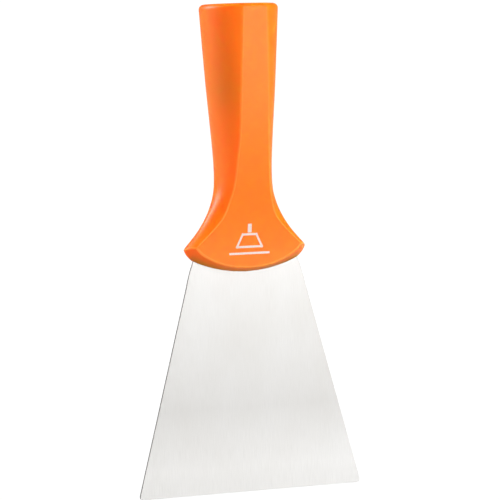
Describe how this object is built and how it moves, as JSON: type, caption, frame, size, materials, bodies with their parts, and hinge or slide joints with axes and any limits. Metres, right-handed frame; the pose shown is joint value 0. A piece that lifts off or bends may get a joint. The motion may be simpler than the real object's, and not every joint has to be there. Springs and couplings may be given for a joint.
{
  "type": "putty knife",
  "caption": "Wide flexible putty knife: a tapered steel sheet held in a flared, faceted plastic handle whose end is a threaded pole socket.",
  "frame": {"origin": "middle of the working edge, which is the centre of the bottom of the bounding box", "axes": "+Z from the working edge up the blade to the handle's end, +X along the working edge, +Y out of the back face; the front face looks towards -Y"},
  "size_m": [0.0992, 0.03, 0.196],
  "materials": {
    "handle_plastic": "satin moulded polypropylene",
    "blade_steel": "fine satin"
  },
  "bodies": {
    "handle": {"handle_moulding": "handle_plastic", "blade_tang": "blade_steel"},
    "blade": {"blade_leaf": "blade_steel"}
  },
  "joints": [
    {"name": "blade_flex", "type": "hinge", "parent": "handle", "child": "blade", "pos_m": [0, 0, 0.0757], "axis": [1, 0, 0], "range_deg": [-20, 20], "stiffness_Nm_per_rad": 13}
  ]
}
